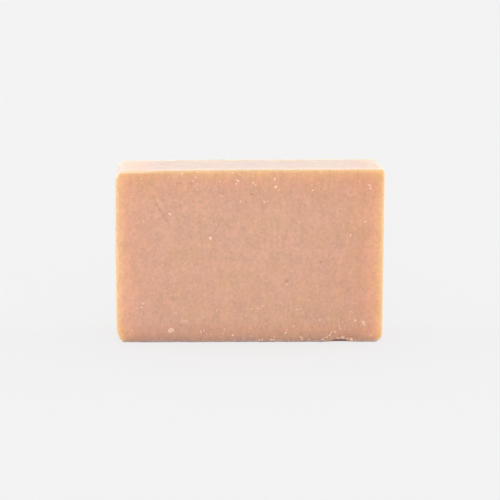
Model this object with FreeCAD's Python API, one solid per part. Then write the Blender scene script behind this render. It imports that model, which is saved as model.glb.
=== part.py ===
"""A hand-cut bar of soap, standing on its long narrow side.

The bar is one solid slice of a soap loaf. The mould and the knife made its four narrow sides, and
a straight wire cut its two broad faces. Each end of the wire strayed a little by itself on the way
down, so each cut face is the ruled surface that such a wire leaves. The four corners are worn,
more at the front than at the back, and so is the edge round each cut face. A flake has come off
the lower edge at the front, and a few air bubbles lie open in the front face.

+X runs along the bar, +Y from the front cut face to the back one and +Z up. The origin is on the
ground, under the middle of the bar. All sizes are in millimetres.
"""

import FreeCAD, Part
import math
import os

# Overall size
LENGTH = 85.0  # left end to right end, along X
HEIGHT = 55.0  # at the left end, along Z
TOP_RISE = 0.62  # how much taller the right end is
THICKNESS = 26.0  # between the two cut faces, along Y

# Narrow sides: how far two of them bulge at their middle
LEFT_BOW = 0.16
TOP_BOW = 0.15

# Worn corners, at the front and at the back: how far the wear reaches along the end of the bar,
# and along its top or base
TOP_LEFT_WEAR = ((4.4, 2.2), (1.6, 2.2))
TOP_RIGHT_WEAR = ((1.4, 0.9), (1.6, 2.6))
BASE_RIGHT_WEAR = ((3.0, 2.9), (2.4, 2.0))
BASE_LEFT_WEAR = ((5.6, 3.0), (3.0, 2.0))
WEAR_FULLNESS = 0.55  # 0.55 is an even round, and less is flatter

# Rounding of the edge where a cut face meets the narrow sides
FRONT_EDGE_ROUND = 0.8
BACK_EDGE_ROUND = 0.65

# Wire cuts: how far the left and right ends of the wire strayed towards +Y by half way down
FRONT_STRAY = (0.12, -0.15)
BACK_STRAY = (-0.08, 0.15)
WIRE_OVERRUN = 6.0  # how far each cut runs on past the bar
LOAF_SPARE = 1.0  # soap outside each cut, which the cut takes off

# Flake broken from the lower front edge
CHIP_FROM_RIGHT = 13.0  # middle of the chip, from the right end
CHIP_LENGTH = 8.6
CHIP_HEIGHT = 1.2  # up the front face
CHIP_DEPTH = 1.5  # along the underside

# Open air bubbles in the front face: distance from the left end, height, radius and depth
BUBBLES = (
    (43.1, 47.6, 0.40, 0.18),
    (54.0, 19.8, 0.42, 0.22),
    (64.9, 25.8, 0.45, 0.22),
    (17.5, 3.9, 0.62, 0.20),
)


def point(x, y, z):
    return FreeCAD.Vector(x, y, z)


def straight_side(start, end):
    """One flat side of the outline, from start to end."""
    return Part.LineSegment(start, end).toShape()


def bowed_side(start, end, bow):
    """One side of the outline, from start to end, bulging by bow to the right of that way."""
    chord = end - start
    outward = point(chord.z, 0, -chord.x).normalize()
    return Part.Arc(start, (start + end) * 0.5 + outward * bow, end).toShape()


def worn_corner(before, after, reach_before, reach_after):
    """A smooth curve from the end of one side to the start of the next, in line with both."""
    leave = before.tangentAt(before.LastParameter)
    arrive = after.tangentAt(after.FirstParameter)
    start = before.valueAt(before.LastParameter)
    end = after.valueAt(after.FirstParameter)
    curve = Part.BezierCurve()
    curve.setPoles(
        [
            start,
            start + leave * reach_before * WEAR_FULLNESS,
            end - arrive * reach_after * WEAR_FULLNESS,
            end,
        ]
    )
    return curve.toShape()


def top_at(x):
    """Height of the sloping top before it is bowed."""
    return HEIGHT + TOP_RISE * (x / LENGTH + 0.5)


def outline(y, worn):
    """The edges round the loaf at y: the base, right end, top and left end, with worn corners.

    worn is 0 for the wear at the front and 1 for the wear at the back.
    """
    half = LENGTH / 2
    base_left_up, base_left_along = BASE_LEFT_WEAR[worn]
    base_right_up, base_right_along = BASE_RIGHT_WEAR[worn]
    top_right_down, top_right_along = TOP_RIGHT_WEAR[worn]
    top_left_down, top_left_along = TOP_LEFT_WEAR[worn]
    left_x = -half + LEFT_BOW
    top_left_x = -half + top_left_along
    top_right_x = half - top_right_along

    base = straight_side(
        point(-half + base_left_along, y, 0),
        point(half - base_right_along, y, 0),
    )
    right = straight_side(
        point(half, y, base_right_up),
        point(half, y, top_at(half) - top_right_down),
    )
    top = bowed_side(
        point(top_right_x, y, top_at(top_right_x)),
        point(top_left_x, y, top_at(top_left_x)),
        TOP_BOW,
    )
    left = bowed_side(
        point(left_x, y, top_at(-half) - top_left_down),
        point(left_x, y, base_left_up),
        LEFT_BOW,
    )
    return [
        base,
        worn_corner(base, right, base_right_along, base_right_up),
        right,
        worn_corner(right, top, top_right_down, top_right_along),
        top,
        worn_corner(top, left, top_left_along, top_left_down),
        left,
        worn_corner(left, base, base_left_up, base_left_along),
    ]


def flat_strip(edge, other):
    """The flat face between two straight edges that run the same way."""
    corners = [
        edge.valueAt(edge.FirstParameter),
        edge.valueAt(edge.LastParameter),
        other.valueAt(other.LastParameter),
        other.valueAt(other.FirstParameter),
    ]
    return Part.Face(Part.makePolygon(corners + corners[:1]))


def loaf():
    """The piece of loaf that the slice is cut from, ruled from its front outline to its back."""
    front = outline(-THICKNESS / 2 - LOAF_SPARE, 0)
    back = outline(THICKNESS / 2 + LOAF_SPARE, 1)
    base = flat_strip(front[0], back[0])
    others = [Part.makeRuledSurface(*pair) for pair in zip(front[1:], back[1:])]
    ends = [Part.Face(Part.Wire(edges)) for edges in (front, back)]
    shell = Part.Shell([base] + others + ends)
    shell.sewShape()
    solid = Part.Solid(shell)
    if solid.Volume < 0:
        solid.reverse()
    return solid


def wire_end_path(x, y, stray):
    """The path of one end of the wire, from below the base to above the top."""
    low = -WIRE_OVERRUN
    high = HEIGHT + TOP_RISE + WIRE_OVERRUN
    middle = point(x, y + stray, (low + high) / 2)
    return Part.Arc(point(x, y, low), middle, point(x, y, high)).toShape()


def wire_cut(y, strays):
    """The surface that the wire sweeps at y."""
    reach = LENGTH / 2 + WIRE_OVERRUN
    left_stray, right_stray = strays
    return Part.makeRuledSurface(
        wire_end_path(-reach, y, left_stray), wire_end_path(reach, y, right_stray)
    )


def cut_slice(front_cut, back_cut):
    """What the two cuts leave of the loaf, with sharp edges."""
    outward = point(0, LOAF_SPARE + WIRE_OVERRUN, 0)
    wastes = [front_cut.extrude(-outward), back_cut.extrude(outward)]
    return loaf().cut(wastes).Solids[0]


def rim(solid, side):
    """The edges round the cut face that looks along -Y (side -1) or +Y (side 1)."""
    face = max(solid.Faces, key=lambda f: side * f.CenterOfMass.y)
    return face.OuterWire.Edges


def chip():
    """The space that the broken flake left: a shell-shaped scoop across the lower front edge."""
    ellipse = Part.Ellipse(point(0, 0, 0), CHIP_LENGTH / 2, CHIP_HEIGHT)
    arch = Part.Arc(ellipse, 0, math.pi).toShape()
    chord = straight_side(arch.valueAt(math.pi), arch.valueAt(0))
    spindle = Part.Face(Part.Wire([arch, chord])).revolve(point(0, 0, 0), point(1, 0, 0), 360)
    stretch = FreeCAD.Matrix()
    stretch.scale(1, CHIP_DEPTH / CHIP_HEIGHT, 1)
    scoop = spindle.transformGeometry(stretch)
    scoop.translate(point(LENGTH / 2 - CHIP_FROM_RIGHT, -THICKNESS / 2, 0))
    return scoop


def bubble(front_cut, from_left, height, radius, depth):
    """A ball whose cap sinks into the front face to a depth, over a circle of a radius."""
    ball_radius = (radius**2 + depth**2) / (2 * depth)
    x = from_left - LENGTH / 2
    probe = straight_side(point(x, -THICKNESS, height), point(x, 0, height))
    face_y = front_cut.distToShape(probe)[1][0][0].y
    return Part.makeSphere(ball_radius, point(x, face_y + depth - ball_radius, height))


def soap_bar():
    """The worn bar, as it stands."""
    front_cut = wire_cut(-THICKNESS / 2, FRONT_STRAY)
    back_cut = wire_cut(THICKNESS / 2, BACK_STRAY)
    bar = cut_slice(front_cut, back_cut)
    bar = bar.makeFillet(FRONT_EDGE_ROUND, rim(bar, -1))
    bar = bar.makeFillet(BACK_EDGE_ROUND, rim(bar, 1))
    marks = [chip()] + [bubble(front_cut, *sizes) for sizes in BUBBLES]
    return bar.cut(marks).Solids[0]


def main():
    os.makedirs("parts", exist_ok=True)
    soap_bar().exportStep("parts/soap_bar.step")


main()
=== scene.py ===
"""Looks of a hand-cut bar of soap, built over its solid.

Lengths are in metres, or in millimetres where MM multiplies them. A place on a cut face is given as
it is measured there: from the left end of the front and up from the base, in millimetres.
"""

import math
import random

import bmesh
import bpy
import numpy as np
from mathutils import Matrix, Quaternion, Vector, noise
from mathutils.bvhtree import BVHTree


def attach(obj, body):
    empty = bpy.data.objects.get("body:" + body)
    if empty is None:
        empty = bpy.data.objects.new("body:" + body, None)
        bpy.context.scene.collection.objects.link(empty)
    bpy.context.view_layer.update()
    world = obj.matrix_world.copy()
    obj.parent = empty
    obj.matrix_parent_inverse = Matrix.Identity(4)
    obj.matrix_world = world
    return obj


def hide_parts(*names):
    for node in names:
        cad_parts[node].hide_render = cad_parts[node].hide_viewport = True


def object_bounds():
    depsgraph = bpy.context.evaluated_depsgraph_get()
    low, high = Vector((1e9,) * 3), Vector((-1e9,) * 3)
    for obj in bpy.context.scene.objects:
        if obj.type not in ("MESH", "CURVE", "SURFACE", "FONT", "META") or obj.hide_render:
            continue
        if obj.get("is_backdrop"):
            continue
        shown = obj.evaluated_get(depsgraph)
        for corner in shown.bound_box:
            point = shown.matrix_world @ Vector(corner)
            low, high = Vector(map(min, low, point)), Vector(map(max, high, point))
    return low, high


MM = 0.001

# Camera: aimed at a point inside the bar, which stands a little turned and tipped in the picture
CAMERA_AIM = Vector((0.44, 0.0, 27.56)) * MM
CAMERA_DISTANCE = 600 * MM
CAMERA_ELEVATION = math.radians(9.70)
CAMERA_AZIMUTH = math.radians(-1.68)
CAMERA_ROLL = math.radians(0.233)
SENSOR_WIDTH_MM = 36.0
LENS_MM = 133.99

# Studio: the level of the pale backdrop, what it gives the bar as light, and the floor
BACKDROP_LEVEL = 0.888
WORLD_LEVEL = 0.78
FLOOR_SIZE = 40.0
FLOOR_HEIGHT = -0.02 * MM  # a hair under the bar, so that its base stays dark
FLOOR_BOUNCE = (0.88, 0.88, 0.88)
FLOOR_SHADE = (0.20, 0.19, 0.17)

# Lamps: azimuth (0 is in front of the bar, 90 on its right), elevation and spread in degrees, level
LAMPS = {
    "front_softbox": (0, 16, 60, 0.18),
    "top_softbox": (180, 72, 80, 0.10),
    "left_softbox": (-98, 12, 60, 0.39),
    "right_softbox": (98, 12, 60, 0.40),
}

# Mesh of the bar: squares of the even mesh, halved on the front face
MESH_SIZE = 0.60 * MM
FRONT_DEPTH = 0.9 * MM  # how far behind the front the finer squares reach

# Relief, as depths below the solid: size, depth and how much longer than wide
SKIN_DEPTH = 0.05 * MM
RELIEF = (
    (7.0 * MM, 0.030 * MM, 1.0),  # waves
    (2.2 * MM, 0.022 * MM, 1.0),  # dimples
    (1.1 * MM, 0.014 * MM, 9.0),  # drag marks
)
MOULD_RELIEF = 0.3  # how much of it the moulded sides have
EDGE_NICK = (2.6 * MM, 0.06 * MM)

# Worn front edge of the top, at the left: how far it runs along, its depth, the heights between
# which the soap turns pale there, and how pale it gets
TOP_LEFT_BEVEL = (10.0, 0.42 * MM)
TOP_LEFT_PALE = (53.9, 54.7)
TOP_LEFT_PALENESS = 0.7

# Cracks: how dark the shade painted in them is, and for each the places along it, its half width and
# its depth
CRACK_SHADE = 0.36
CRACKS = (
    (((12.0, 46.9), (12.6, 45.3), (14.2, 42.8), (15.7, 39.9), (17.3, 38.0)), 0.30, 0.10),
    (((20.5, 44.4), (20.8, 41.5), (22.3, 39.9), (23.9, 39.5)), 0.28, 0.10),
    (((31.9, 44.1), (31.9, 42.5)), 0.28, 0.10),
    (((32.4, 39.3), (32.6, 37.4)), 0.26, 0.06),
    (((19.5, 50.9), (24.3, 50.9)), 0.35, 0.06),
    (((68.9, 27.1), (67.6, 26.1)), 0.25, 0.06),
    (((75.3, 25.1), (74.3, 24.2)), 0.25, 0.06),
)
# Pits: how dark the shade painted in them is, and for each its place, radius and depth
PIT_SHADE = 0.42
PITS = (
    (43.1, 47.7, 0.40, 0.12),
    (65.1, 26.0, 0.42, 0.12),
    (54.2, 19.8, 0.40, 0.12),
)
# Pale scuffs: place, radius, how pale, and whether it is a ring or a spot
SCUFFS = (
    (26.1, 49.8, 1.3, 0.35, "ring"),
    (60.3, 45.8, 1.4, 0.30, "ring"),
    (74.3, 48.2, 1.6, 0.30, "ring"),
    (14.5, 50.5, 1.3, 0.30, "ring"),
    (21.2, 6.9, 0.9, 0.50, "spot"),
    (22.3, 6.9, 0.8, 0.60, "spot"),
    (67.5, 7.7, 0.9, 0.40, "spot"),
    (60.4, 6.2, 1.1, 0.35, "spot"),
    (78.7, 6.3, 1.2, 0.30, "spot"),
)

# Flecks of dry soap on the front: place and length
FLECKS = (
    (38.6, 51.8, 1.2), (38.1, 50.9, 0.8), (43.4, 51.1, 0.8), (44.2, 50.4, 0.7), (21.3, 54.0, 0.7),
    (36.9, 54.2, 0.7), (50.2, 52.3, 0.9), (50.5, 49.8, 0.9), (51.5, 48.8, 0.7), (24.6, 51.7, 0.7),
    (33.7, 46.9, 0.7), (39.5, 45.2, 0.9), (46.9, 45.2, 0.7), (62.2, 48.8, 0.9), (80.0, 50.4, 1.1),
    (17.3, 41.2, 1.1), (30.0, 33.5, 1.1), (78.9, 38.8, 0.8), (74.2, 34.6, 0.7), (54.2, 18.7, 0.7),
    (80.3, 49.4, 0.8), (25.4, 52.9, 0.7), (29.4, 54.3, 0.6), (33.0, 51.5, 0.7), (61.9, 50.4, 0.6),
    (8.7, 12.8, 0.9), (9.6, 13.0, 0.5), (8.3, 11.4, 0.5), (15.5, 12.8, 0.5), (46.8, 11.9, 0.5),
    (45.2, 11.0, 0.5), (57.4, 10.6, 0.8), (58.4, 10.7, 0.6), (64.8, 7.2, 0.7), (76.1, 7.0, 0.8),
    (78.7, 6.5, 0.8), (79.0, 5.7, 0.6), (56.4, 5.1, 0.5), (28.0, 3.8, 0.6), (28.8, 3.0, 0.5),
    (34.6, 4.3, 0.5), (37.2, 2.3, 0.8), (59.3, 1.5, 0.5), (68.5, 3.1, 0.7), (69.6, 3.3, 0.9),
    (71.1, 5.1, 0.5), (66.4, 1.5, 0.5), (81.3, 2.1, 0.5), (40.4, 1.0, 0.4), (29.3, 0.6, 0.4),
    (45.6, 0.7, 0.8), (46.5, 0.8, 0.9), (49.4, 0.8, 0.9), (50.2, 0.7, 0.7), (50.4, 1.7, 0.6),
    (58.8, 1.6, 0.8), (59.2, 0.9, 0.8), (65.8, 0.9, 0.9), (67.2, 1.6, 0.8), (68.0, 2.3, 0.7),
    (53.9, 3.0, 0.9), (71.3, 4.3, 0.6), (27.1, 3.5, 0.7), (37.7, 0.7, 0.6), (55.0, 0.6, 0.5),
)
# Finer flecks in bands across the front: lower and upper height, and count
FLECK_BANDS = ((0.1, 0.8, 60), (0.5, 8.0, 130), (8.0, 20.0, 80), (20.0, 42.0, 50), (42.0, 54.5, 130))
SMALL_FLECK = (0.20, 0.45)
OTHER_SIDE_FLECKS = 170
OTHER_SIDE_FLECK = (0.25, 0.7)
FLECK_SEED = 7
END_MARGIN = 4.0  # no fine fleck lies nearer than this to an end

# Round flake near the left of the base: its place and half sizes, its tilt, the height of its
# surface at shares of the way out from its middle, and how dry its middle and its rim are
FLAKE_PLACE = (17.5, 3.9)
FLAKE_REACH = (0.98, 0.76)
FLAKE_TILT = math.radians(24)
FLAKE_PROFILE = ((0.25, 0.03), (0.45, 0.05), (0.7, 0.14), (0.85, 0.14), (1.0, -0.02), (0.9, -0.25))
FLAKE_RIM = 0.5
FLAKE_DRYNESS = (0.3, 0.95)

# Lip over the chip near the right of the base, as places and lengths of its crumbs, and the hollow
# under it, where shade is painted
LIP = ((70.8, 1.40, 1.4), (72.2, 1.25, 1.5), (73.6, 1.00, 1.5), (75.0, 0.75, 1.4), (76.2, 0.42, 1.1))
LIP_DRYNESS = 0.25
LIP_DEPTH = 0.25 * MM  # how far behind the front its crumbs lie
HOLLOW = (67.4, 75.0, 0.95)  # from and to along the base, and how far up
HOLLOW_SHADE = 0.85

# Burr that the wire left along the lower front edge: its size, how much of the edge's rounding it
# fills, how far up it is pale, and how pale
BURR_SIZE = 1.8 * MM
BURR_FILL = (0.45, 1.0)
EDGE_ROUND = 0.8 * MM
BURR_RISE = 0.8
BURR_PALENESS = 0.9

# Soap
SOAP_COLOR = (0.715, 0.438, 0.312)
PINK_TINT = (1.005, 0.995, 1.03)
TAN_TINT = (1.0, 1.002, 0.965)
MOULD_COLOR = (0.79, 0.625, 0.55)
MOTTLING = (  # size, how much longer than wide, and strength
    (6.0 * MM, 1.0, 0.030),
    (2.8 * MM, 1.4, 0.040),
    (1.4 * MM, 1.0, 0.045),
    (0.7 * MM, 1.0, 0.060),
    (0.9 * MM, 8.0, 0.020),
)
DARK_SPECK = (1.5 * MM, 0.24, 0.14)  # spacing, reach as a share of it, and strength
PALE_COLOR = (0.93, 0.64, 0.52)
# Colour of the shade painted in the cracks, the pits and the hollow
SHADE_COLOR = (0.42, 0.17, 0.10)
DAMP_FLECK = (0.80, 0.47, 0.34)
DRY_FLECK = (0.97, 0.69, 0.55)
SCATTER_RADII = (14.0, 11.0, 4.0)
CUT_ROUGHNESS = (0.42, 0.56)
MOULD_ROUGHNESS = (0.38, 0.48)
# More orange towards the top, gone at the reach below it: partly the soap's rind, partly a painted
# glow of the light that comes in through the top
RIND_AND_GLOW_TINT = (0.945, 0.925, 0.85)
RIND_AND_GLOW_REACH = 11.0 * MM
# Painted shade towards the base, where the floor keeps light off the bar: green and blue darker and
# red a little lighter, strongest at the base and gone at the reach above it
BASE_SHADE_TINT = (1.06, 0.86, 0.80)
BASE_SHADE_REACH = 7.0 * MM
# Painted shade over the right of the bar, growing between these two places along its length
RIGHT_SHADE_TINT = (0.98, 0.95, 0.92)
RIGHT_SHADE_REACH = (12.0 * MM, 32.0 * MM)


def link_object(name, mesh):
    obj = bpy.data.objects.new(name, mesh)
    bpy.context.scene.collection.objects.link(obj)
    return obj


def feed(tree, socket, value):
    """Links a socket to another, or sets it."""
    if isinstance(value, bpy.types.NodeSocket):
        tree.links.new(value, socket)
    else:
        socket.default_value = value


def math_of(tree, operation, *values):
    node = tree.nodes.new("ShaderNodeMath")
    node.operation = operation
    for socket, value in zip(node.inputs, values):
        feed(tree, socket, value)
    return node.outputs[0]


def ranged(tree, value, low, high, to_low, to_high, clamp=True):
    """value, taken from the range low to high into the range to_low to to_high."""
    node = tree.nodes.new("ShaderNodeMapRange")
    node.clamp = clamp
    for socket, given in zip(node.inputs, (value, low, high, to_low, to_high)):
        feed(tree, socket, given)
    return node.outputs[0]


def between(tree, share, first, second):
    """The number first with a share of second."""
    node = tree.nodes.new("ShaderNodeMix")
    feed(tree, node.inputs[0], share)
    feed(tree, node.inputs[2], first)
    feed(tree, node.inputs[3], second)
    return node.outputs[0]


def blended(tree, share, first, second, kind="MIX"):
    """The colour of first with a share of second."""
    node = tree.nodes.new("ShaderNodeMix")
    node.data_type = "RGBA"
    node.blend_type = kind
    feed(tree, node.inputs[0], share)
    feed(tree, node.inputs[6], (*first, 1) if isinstance(first, tuple) else first)
    feed(tree, node.inputs[7], (*second, 1) if isinstance(second, tuple) else second)
    return node.outputs[2]


def scaled(tree, color, value):
    """A colour made lighter or darker by a value."""
    node = tree.nodes.new("ShaderNodeVectorMath")
    node.operation = "SCALE"
    feed(tree, node.inputs[0], color)
    feed(tree, node.inputs["Scale"], value)
    return node.outputs[0]


def texture_place(tree, size, stretch, turn):
    """Where a point lies in a texture of a size in metres, stretched upwards."""
    place = tree.nodes.new("ShaderNodeTexCoord")
    mapping = tree.nodes.new("ShaderNodeMapping")
    mapping.inputs["Location"].default_value = (turn, turn * 1.7, turn * 2.3)
    mapping.inputs["Scale"].default_value = (1 / size, 1 / size, 1 / size / stretch)
    tree.links.new(place.outputs["Object"], mapping.inputs["Vector"])
    return mapping.outputs[0]


def grain(tree, size, detail=2.0, stretch=1.0, turn=0.0):
    """Noise, as a value round 0.5."""
    node = tree.nodes.new("ShaderNodeTexNoise")
    node.inputs["Scale"].default_value = 1.0
    node.inputs["Detail"].default_value = detail
    tree.links.new(texture_place(tree, size, stretch, turn), node.inputs["Vector"])
    return node.outputs[0]


def specks(tree, size, reach, turn=0.0):
    """1 in the middle of scattered round specks, and 0 from reach (a share of size) outwards."""
    cells = tree.nodes.new("ShaderNodeTexVoronoi")
    cells.inputs["Scale"].default_value = 1.0
    tree.links.new(texture_place(tree, size, 1.0, turn), cells.inputs["Vector"])
    return ranged(tree, cells.outputs["Distance"], 0.0, reach, 1.0, 0.0)


def painted(tree, name):
    """A value that the mesh carries at each of its points."""
    node = tree.nodes.new("ShaderNodeAttribute")
    node.attribute_name = name
    return node.outputs["Fac"]


def new_material(name):
    material = bpy.data.materials.new(name)
    material.use_nodes = True
    tree = material.node_tree
    tree.nodes.clear()
    return material, tree


def finish_tree(tree, shader, kind="ShaderNodeOutputMaterial"):
    output = tree.nodes.new(kind)
    tree.links.new(shader, output.inputs["Surface"])


def make_camera():
    data = bpy.data.cameras.new("camera")
    data.sensor_width = SENSOR_WIDTH_MM
    data.lens = LENS_MM
    data.clip_start = 0.05
    data.clip_end = 100.0
    camera = link_object("camera", data)
    back = Vector(
        (
            math.sin(CAMERA_AZIMUTH) * math.cos(CAMERA_ELEVATION),
            -math.cos(CAMERA_AZIMUTH) * math.cos(CAMERA_ELEVATION),
            math.sin(CAMERA_ELEVATION),
        )
    )
    camera.location = CAMERA_AIM + back * CAMERA_DISTANCE
    camera.rotation_mode = "QUATERNION"
    level = (-back).to_track_quat("-Z", "Y")
    camera.rotation_quaternion = level @ Quaternion((0, 0, 1), CAMERA_ROLL)
    bpy.context.scene.camera = camera


def seen_rays(tree):
    """1 for rays that show the studio itself: from the camera, in gloss or through glass."""
    path = tree.nodes.new("ShaderNodeLightPath")
    seen = path.outputs["Is Camera Ray"]
    for name in ("Is Glossy Ray", "Is Transmission Ray"):
        seen = math_of(tree, "MAXIMUM", seen, path.outputs[name])
    return seen


def lit_or_seen(tree, light, sight):
    """One shader for what lights the bar, and another for what the camera sees."""
    node = tree.nodes.new("ShaderNodeMixShader")
    for socket, value in zip(node.inputs, (seen_rays(tree), light, sight)):
        feed(tree, socket, value)
    return node.outputs[0]


def diffuse(tree, color):
    node = tree.nodes.new("ShaderNodeBsdfDiffuse")
    node.inputs["Color"].default_value = (*color, 1)
    return node.outputs[0]


def open_floor_level():
    """How brightly the world and the lamps light the floor away from the bar."""
    lamps = sum(level * math.sin(math.radians(rise)) for _, rise, _, level in LAMPS.values())
    return WORLD_LEVEL + lamps


def make_floor():
    mesh = bpy.data.meshes.new("floor")
    half = FLOOR_SIZE / 2
    corners = [(x * half, y * half, FLOOR_HEIGHT) for x, y in ((-1, -1), (1, -1), (1, 1), (-1, 1))]
    mesh.from_pydata(corners, [], [(0, 1, 2, 3)])
    floor = link_object("floor", mesh)
    material, tree = new_material("pale_floor")
    glow = tree.nodes.new("ShaderNodeEmission")
    rest = [BACKDROP_LEVEL - part * open_floor_level() for part in FLOOR_SHADE]
    glow.inputs["Color"].default_value = (*rest, 1)
    pale = tree.nodes.new("ShaderNodeAddShader")
    tree.links.new(diffuse(tree, FLOOR_SHADE), pale.inputs[0])
    tree.links.new(glow.outputs[0], pale.inputs[1])
    finish_tree(tree, lit_or_seen(tree, diffuse(tree, FLOOR_BOUNCE), pale.outputs[0]))
    mesh.materials.append(material)
    floor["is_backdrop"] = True


def background(tree, level):
    node = tree.nodes.new("ShaderNodeBackground")
    node.inputs["Color"].default_value = (1, 1, 1, 1)
    node.inputs["Strength"].default_value = level
    return node.outputs[0]


def make_world():
    world = bpy.data.worlds.new("studio")
    bpy.context.scene.world = world
    world.use_nodes = True
    tree = world.node_tree
    tree.nodes.clear()
    shader = lit_or_seen(tree, background(tree, WORLD_LEVEL), background(tree, BACKDROP_LEVEL))
    finish_tree(tree, shader, "ShaderNodeOutputWorld")


def make_lamps():
    for name, (azimuth, elevation, spread, level) in LAMPS.items():
        data = bpy.data.lights.new(name, "SUN")
        data.angle = math.radians(spread)
        data.energy = level * math.pi
        lamp = link_object(name, data)
        turn = math.radians(azimuth)
        rise = math.radians(elevation)
        beam = Vector(
            (
                -math.sin(turn) * math.cos(rise),
                math.cos(turn) * math.cos(rise),
                -math.sin(rise),
            )
        )
        lamp.rotation_mode = "QUATERNION"
        lamp.rotation_quaternion = beam.to_track_quat("-Z", "Y")


def welded(mesh):
    """A bmesh of a mesh with the seams between its faces closed."""
    form = bmesh.new()
    form.from_mesh(mesh)
    bmesh.ops.remove_doubles(form, verts=form.verts, dist=0.001 * MM)
    return form


def evenly_remeshed(form):
    """A new bmesh of even squares round a closed form."""
    start = bpy.data.meshes.new("start")
    form.to_mesh(start)
    holder = link_object("holder", start)
    remesh = holder.modifiers.new("remesh", "REMESH")
    remesh.mode = "VOXEL"
    remesh.voxel_size = MESH_SIZE
    graph = bpy.context.evaluated_depsgraph_get()
    squares = bpy.data.meshes.new_from_object(holder.evaluated_get(graph), depsgraph=graph)
    bpy.data.objects.remove(holder)
    even = bmesh.new()
    even.from_mesh(squares)
    return even


def fine_mesh(node):
    """A mesh of small squares on the surface of a solid, finer on its front."""
    solid = welded(node.data)
    surface = BVHTree.FromBMesh(solid)
    fine = evenly_remeshed(solid)
    solid.free()
    limit = cad_low.y + FRONT_DEPTH
    front = [edge for edge in fine.edges if all(vertex.co.y < limit for vertex in edge.verts)]
    bmesh.ops.subdivide_edges(fine, edges=front, cuts=1, use_grid_fill=True)
    for vertex in fine.verts:
        vertex.co = surface.find_nearest(vertex.co)[0]
    near = [vertex for vertex in fine.verts if vertex.co.y < limit and vertex.co.z > MESH_SIZE]
    bmesh.ops.smooth_vert(
        fine, verts=near, factor=0.5, use_axis_x=True, use_axis_y=True, use_axis_z=True
    )
    mesh = bpy.data.meshes.new("worn_bar")
    fine.to_mesh(mesh)
    fine.free()
    return mesh


def noise_at(places, size, seed, stretch=1.0):
    """Noise of a size, between about -1 and 1, at each place."""
    scale = np.array((1 / size, 1 / size, 1 / size / stretch))
    shift = np.array((seed * 11.3, seed * 5.7, seed * 8.9))
    return np.array([noise.fractal(Vector(place), 1.0, 2.0, 3) for place in places * scale + shift])


def smooth_step(values, low, high):
    share = np.clip((values - low) / (high - low), 0, 1)
    return share * share * (3 - 2 * share)


def distance_to_line(across, up, line):
    """How far each place on the front is from a line through several places, in millimetres."""
    nearest = np.full(len(across), np.inf)
    for (x0, z0), (x1, z1) in zip(line, line[1:]):
        length = (x1 - x0) ** 2 + (z1 - z0) ** 2
        along = np.clip(((across - x0) * (x1 - x0) + (up - z0) * (z1 - z0)) / length, 0, 1)
        gap = np.hypot(across - x0 - along * (x1 - x0), up - z0 - along * (z1 - z0))
        nearest = np.minimum(nearest, gap)
    return nearest


def bump_at(gap, reach):
    return np.exp(-((gap / reach) ** 2))


def paint(mesh, name, values):
    layer = mesh.attributes.new(name, "FLOAT", "POINT")
    layer.data.foreach_set("value", values.astype(np.float32))


def burr(places, normals):
    """How far the ragged burr stands out of the rounded lower front edge."""
    least, most = BURR_FILL
    fill = least + (most - least) * smooth_step(noise_at(places, BURR_SIZE, 8), -0.3, 0.3)
    steepest = np.maximum(np.abs(normals[:, 1]), np.abs(normals[:, 2]))
    corner = EDGE_ROUND * (1 / np.maximum(steepest, 0.5) - 1)
    below = (normals[:, 1] < 0) & (normals[:, 2] < -0.02) & (np.abs(normals[:, 0]) < 0.3)
    return fill * corner * below * (places[:, 2] < EDGE_ROUND)


def places_and_normals(mesh):
    """The place and the normal of each point of a mesh."""
    found = []
    for source, name in ((mesh.vertices, "co"), (mesh.vertex_normals, "vector")):
        values = np.empty(len(mesh.vertices) * 3)
        source.foreach_get(name, values)
        found.append(values.reshape(-1, 3))
    return found


def shallow_relief(places, normals, across):
    """Depths of the waves, dimples and drag marks, the nicked edges and the worn top left edge."""
    depth = np.full(len(places), SKIN_DEPTH)
    for seed, (size, deep, stretch) in enumerate(RELIEF, start=1):
        depth += deep * noise_at(places, size, seed, stretch)
    cut_face = smooth_step(np.abs(normals[:, 1]), 0.5, 0.8)
    depth *= MOULD_RELIEF + (1 - MOULD_RELIEF) * cut_face
    crest = smooth_step(1 - np.abs(normals).max(axis=1), 0.02, 0.2)
    size, deep = EDGE_NICK
    depth += deep * np.clip(noise_at(places, size, 4) + 0.15, 0, 1) * crest
    reach, deep = TOP_LEFT_BEVEL
    bevel = smooth_step(reach * 1.4 - across, 0, reach * 0.8) * crest
    return depth + deep * bevel * (normals[:, 1] < 0) * (normals[:, 2] > 0.2)


def cracks_and_pits(places, across, up, front):
    """How deep the cracks and the pits are, and how dark the shade painted in them is."""
    broken = np.clip(0.6 + 1.2 * noise_at(places, 1.6 * MM, 5), 0, 1)
    marks = [
        (bump_at(distance_to_line(across, up, line), reach) * broken, deep, CRACK_SHADE)
        for line, reach, deep in CRACKS
    ]
    marks += [
        (bump_at(np.hypot(across - x, up - z), reach), deep, PIT_SHADE)
        for x, z, reach, deep in PITS
    ]
    depth = sum(deep * MM * mark for mark, deep, _ in marks) * front
    dark = np.max([darkness * mark for mark, _, darkness in marks], axis=0) * front
    return depth, dark


def pale_marks(places, normals, across, up, front):
    """How pale the scuffs, the worn top left edge and the burr are."""
    pale = np.zeros(len(places))
    patchy = np.clip(0.6 + 0.9 * noise_at(places, 0.9 * MM, 6), 0, 1)
    for x, z, reach, strength, kind in SCUFFS:
        gap = np.hypot(across - x, (up - z) * 1.25)
        if kind == "ring":
            shape = bump_at(gap - 0.75 * reach, 0.35 * reach) * patchy
        else:
            shape = bump_at(gap, 0.8 * reach)
        pale = np.maximum(pale, strength * shape * front)
    reach = TOP_LEFT_BEVEL[0]
    worn_top = smooth_step(reach * 1.5 - across, 0, reach) * smooth_step(up, *TOP_LEFT_PALE)
    torn = (normals[:, 1] < -0.2) * smooth_step(-up, -BURR_RISE, -0.5 * BURR_RISE) * patchy
    return np.maximum.reduce((pale, TOP_LEFT_PALENESS * worn_top, BURR_PALENESS * torn))


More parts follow.
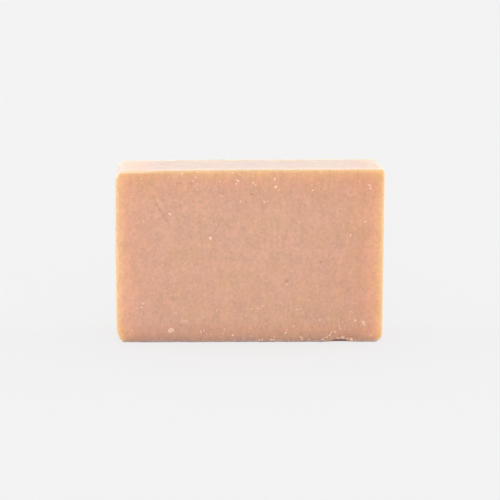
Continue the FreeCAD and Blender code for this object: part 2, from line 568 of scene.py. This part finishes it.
def wear_and_shade(mesh):
    """Sinks the relief into the bar, fills out the burr, paints the pale marks and paints shade in the
    cracks, the pits and the hollow.
    """
    places, normals = places_and_normals(mesh)
    across = (places[:, 0] - cad_low.x) / MM
    up = places[:, 2] / MM
    front = smooth_step(-normals[:, 1], 0.6, 0.95)

    depth, dark = cracks_and_pits(places, across, up, front)
    pale = pale_marks(places, normals, across, up, front)
    # Shade painted in the hollow under the lip
    start, end, rise = HOLLOW
    along = smooth_step(across, start, start + 2.5) * smooth_step(-across, -end, 2.0 - end)
    hollow = along * smooth_step(-up, -rise, -0.6 * rise) * (normals[:, 1] < 0)
    paint(mesh, "pale", pale)
    # How dark the shade painted in the cracks, the pits and the hollow is
    paint(mesh, "dark", np.maximum(dark, HOLLOW_SHADE * hollow))

    depth += shallow_relief(places, normals, across)
    depth = np.clip(depth, 0, None) * smooth_step(normals[:, 2], -0.9, -0.3)
    depth -= burr(places, normals) * (1 - smooth_step(along, 0, 0.3))
    places = np.clip(places - normals * depth[:, None], cad_low, cad_high)
    mesh.vertices.foreach_set("co", places.ravel())
    mesh.update()


def part_of(tree, name, axis):
    """One part, X, Y or Z, of a texture coordinate."""
    place = tree.nodes.new("ShaderNodeTexCoord")
    split = tree.nodes.new("ShaderNodeSeparateXYZ")
    tree.links.new(place.outputs[name], split.inputs[0])
    return split.outputs[axis]


def mould_share(tree):
    """1 on the narrow sides, that the mould made, and 0 on the cut faces."""
    return ranged(tree, math_of(tree, "ABSOLUTE", part_of(tree, "Normal", "Y")), 0.55, 0.9, 1.0, 0.0)


def soap_color(tree):
    """The colour of the soap: mottled, orange at the rind with a painted glow along the top, with
    painted shade towards the base and the right, paler where the mould was, and marked, with painted
    shade in the cracks, the pits and the hollow.
    """
    tint = blended(tree, ranged(tree, grain(tree, 11 * MM), 0.35, 0.65, 0, 1), PINK_TINT, TAN_TINT)
    color = blended(tree, 1.0, SOAP_COLOR, tint, "MULTIPLY")
    for size, stretch, strength in MOTTLING:
        noise_value = grain(tree, size, 2.0, stretch, size / MM)
        level = ranged(tree, noise_value, 0.3, 0.7, 1 - strength, 1 + strength, False)
        color = scaled(tree, color, level)
    dots = math_of(tree, "MULTIPLY", specks(tree, DARK_SPECK[0], DARK_SPECK[1], 5.3), DARK_SPECK[2])
    color = scaled(tree, color, math_of(tree, "SUBTRACT", 1.0, dots))

    # Rind and painted glow along the top, painted shade towards the base and on the right
    glow_and_shade_tints = (
        ("Z", cad_high.z - RIND_AND_GLOW_REACH, cad_high.z, RIND_AND_GLOW_TINT),
        ("Z", BASE_SHADE_REACH, 0.0, BASE_SHADE_TINT),
        ("X", *RIGHT_SHADE_REACH, RIGHT_SHADE_TINT),
    )
    for axis, start, end, tint in glow_and_shade_tints:
        share = ranged(tree, part_of(tree, "Object", axis), start, end, 0.0, 1.0)
        color = blended(tree, share, color, blended(tree, 1.0, color, tint, "MULTIPLY"))

    patches = ranged(tree, grain(tree, 4.5 * MM, 3.0, turn=2.7), 0.3, 0.7, 0.75, 1.1)
    mould_grain = ranged(tree, grain(tree, 1.4 * MM, turn=4.4), 0.3, 0.7, 0.98, 1.02)
    mould = scaled(tree, MOULD_COLOR, mould_grain)
    color = blended(tree, math_of(tree, "MULTIPLY", mould_share(tree), patches), color, mould)

    color = blended(tree, painted(tree, "pale"), color, PALE_COLOR)
    # Shade painted in the cracks, the pits and the hollow under the lip
    return blended(tree, painted(tree, "dark"), color, SHADE_COLOR)


def soap_material():
    material, tree = new_material("soap")
    soap = tree.nodes.new("ShaderNodeBsdfPrincipled")
    feed(tree, soap.inputs["Base Color"], soap_color(tree))
    cut = ranged(tree, grain(tree, 1.0 * MM, turn=6.6), 0.3, 0.7, *CUT_ROUGHNESS)
    moulded = ranged(tree, grain(tree, 2.0 * MM, turn=8.8), 0.3, 0.7, *MOULD_ROUGHNESS)
    feed(tree, soap.inputs["Roughness"], between(tree, mould_share(tree), cut, moulded))
    soap.inputs["IOR"].default_value = 1.45
    soap.subsurface_method = "RANDOM_WALK"
    soap.inputs["Subsurface Weight"].default_value = 1.0
    soap.inputs["Subsurface Radius"].default_value = SCATTER_RADII
    soap.inputs["Subsurface Scale"].default_value = MM
    bump = tree.nodes.new("ShaderNodeBump")
    bump.inputs["Strength"].default_value = 0.6
    bump.inputs["Distance"].default_value = 0.08 * MM
    feed(tree, bump.inputs["Height"], grain(tree, 0.5 * MM, 3.0, turn=9.1))
    feed(tree, soap.inputs["Normal"], bump.outputs[0])
    finish_tree(tree, soap.outputs[0])
    return material


def fleck_material():
    material, tree = new_material("dry_soap")
    dry = tree.nodes.new("ShaderNodeBsdfPrincipled")
    level = ranged(tree, grain(tree, 0.5 * MM), 0.3, 0.7, 0.95, 1.05)
    color = blended(tree, painted(tree, "dryness"), DAMP_FLECK, DRY_FLECK)
    feed(tree, dry.inputs["Base Color"], scaled(tree, color, level))
    dry.inputs["Roughness"].default_value = 0.6
    finish_tree(tree, dry.outputs[0])
    return material


def make_bar():
    mesh = fine_mesh(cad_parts["soap_bar"])
    wear_and_shade(mesh)
    mesh.materials.clear()
    mesh.materials.append(soap_material())
    mesh.shade_smooth()
    bar = link_object("worn_bar", mesh)
    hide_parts("soap_bar")
    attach(bar, "root")
    return bar


def ball_of_triangles():
    """The points and faces of a ball of radius 1."""
    form = bmesh.new()
    bmesh.ops.create_icosphere(form, subdivisions=2, radius=1.0)
    points = [vertex.co.copy() for vertex in form.verts]
    faces = [[vertex.index for vertex in face.verts] for face in form.faces]
    form.free()
    return points, faces


def add_part(parts, points, faces, dryness):
    """Adds a closed shape, moved into the box of the solid, with the dryness of each of its points."""
    shift = Vector()
    for axis in range(3):
        low = min(point[axis] for point in points)
        high = max(point[axis] for point in points)
        shift[axis] = max(0, cad_low[axis] - low) - max(0, high - cad_high[axis])
    start = len(parts["points"])
    parts["points"] += [point + shift for point in points]
    parts["faces"] += [[start + i for i in face] for face in faces]
    parts["dryness"] += dryness


def add_fleck(parts, ball, place, normal, size, dryness, draw):
    """One irregular flat crumb, half sunk into the surface."""
    length = size * draw.uniform(0.85, 1.15) / 2
    width = length * draw.uniform(0.5, 0.95)
    thickness = size * draw.uniform(0.14, 0.22) / 2 + 0.02 * MM
    turn = Matrix.Rotation(draw.uniform(0, 2 * math.pi), 4, "Z")
    tilt = Matrix.Rotation(draw.uniform(-0.25, 0.25), 4, "X")
    shape = Matrix.Diagonal((length, width, thickness, 1))
    stand = normal.to_track_quat("Z", "Y").to_matrix().to_4x4()
    shift = Vector([draw.uniform(0, 50) for _ in range(3)])
    whole = Matrix.Translation(place) @ stand @ turn @ tilt @ shape
    crumb = [whole @ (spot * (1 + 0.5 * noise.noise(spot * 1.4 + shift))) for spot in ball[0]]
    add_part(parts, crumb, ball[1], [dryness] * len(crumb))


def on_front(surface, across, up):
    """The point and the normal of the bar's front at a place."""
    return surface.find_nearest(Vector((cad_low.x + across * MM, cad_low.y, up * MM)))[:2]


def on_any_side(surface, draw):
    """A point and its normal anywhere but on the front and the base."""
    middle = (cad_low + cad_high) / 2
    reach = cad_high - cad_low
    while True:
        way = Vector([draw.gauss(0, 1) for _ in range(3)]).normalized()
        start = middle + Vector([draw.uniform(-0.45, 0.45) * side for side in reach])
        place, normal, _, _ = surface.ray_cast(start, way)
        if place and normal.y > -0.5 and normal.z > -0.5:
            return place, normal


def add_flake(parts, surface):
    """The round flake with its raised rim."""
    x, z = FLAKE_PLACE
    centre = on_front(surface, x, z)[0]
    centre.y = on_front(surface, x, z + 2 * FLAKE_REACH[1])[0].y
    steps = 30
    points = [centre + Vector((0, -FLAKE_PROFILE[0][1], 0)) * MM]
    for share, height in FLAKE_PROFILE:
        for i in range(steps):
            angle = 2 * math.pi * i / steps
            uneven = noise.noise(Vector((math.cos(angle), math.sin(angle), 3.3)) * 1.3)
            flat = Vector((math.cos(angle) * FLAKE_REACH[0], math.sin(angle) * FLAKE_REACH[1]))
            flat *= share * (1 + 0.25 * uneven)
            flat.rotate(Matrix.Rotation(FLAKE_TILT, 2))
            lift = height * (1 + 0.8 * uneven)
            points.append(centre + Vector((flat.x, -lift, flat.y)) * MM)
    faces = [(0, 1 + i, 1 + (i + 1) % steps) for i in range(steps)]
    for ring in range(len(FLAKE_PROFILE) - 1):
        low = 1 + ring * steps
        for i in range(steps):
            k = (i + 1) % steps
            faces.append((low + i, low + steps + i, low + steps + k, low + k))
    last = 1 + (len(FLAKE_PROFILE) - 1) * steps
    faces.append([last + i for i in reversed(range(steps))])
    middle, rim = FLAKE_DRYNESS
    dryness = [middle]
    for share, _ in FLAKE_PROFILE:
        dryness += [middle if share < FLAKE_RIM else rim] * steps
    add_part(parts, points, faces, dryness)


def fleck_spots(draw):
    """The places, lengths and dryness of all the flecks on the front."""
    spots = [(*fleck, draw.uniform(0.6, 1.0)) for fleck in FLECKS]
    length = (cad_high.x - cad_low.x) / MM
    smallest, largest = SMALL_FLECK
    for low, high, count in FLECK_BANDS:
        for _ in range(count):
            size = smallest + (largest - smallest) * draw.random() ** 2
            place = (draw.uniform(END_MARGIN, length - END_MARGIN), draw.uniform(low, high))
            spots.append((*place, size, draw.random() ** 1.5))
    return spots


def make_flecks(bar):
    draw = random.Random(FLECK_SEED)
    surface = BVHTree.FromPolygons(
        [vertex.co for vertex in bar.data.vertices], [face.vertices for face in bar.data.polygons]
    )
    ball = ball_of_triangles()
    parts = {"points": [], "faces": [], "dryness": []}
    for x, z, size, dryness in fleck_spots(draw):
        place, normal = on_front(surface, x, z)
        add_fleck(parts, ball, place, normal, size * MM, dryness, draw)
    for _ in range(OTHER_SIDE_FLECKS):
        place, normal = on_any_side(surface, draw)
        size = draw.uniform(*OTHER_SIDE_FLECK) * MM
        add_fleck(parts, ball, place, normal, size, draw.random(), draw)
    for x, z, size in LIP:
        place = on_front(surface, x, z)[0]
        place.y = cad_low.y + LIP_DEPTH
        add_fleck(parts, ball, place, Vector((0, -1, 0)), size * MM, LIP_DRYNESS, draw)
    add_flake(parts, surface)
    mesh = bpy.data.meshes.new("surface_flecks")
    mesh.from_pydata(parts["points"], [], parts["faces"])
    paint(mesh, "dryness", np.array(parts["dryness"]))
    mesh.materials.append(fleck_material())
    mesh.shade_smooth()
    flecks = link_object("surface_flecks", mesh)
    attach(flecks, "root")


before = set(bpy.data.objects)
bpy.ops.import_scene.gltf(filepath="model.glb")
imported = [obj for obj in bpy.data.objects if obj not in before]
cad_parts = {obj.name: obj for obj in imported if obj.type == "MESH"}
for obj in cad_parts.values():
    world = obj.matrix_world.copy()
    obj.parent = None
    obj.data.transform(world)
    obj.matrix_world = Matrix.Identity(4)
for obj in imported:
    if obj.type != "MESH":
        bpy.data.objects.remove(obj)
cad_low, cad_high = (Vector(corner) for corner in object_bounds())
bpy.context.scene.view_settings.view_transform = "Standard"
make_camera()
make_world()
make_lamps()
make_floor()
make_flecks(make_bar())
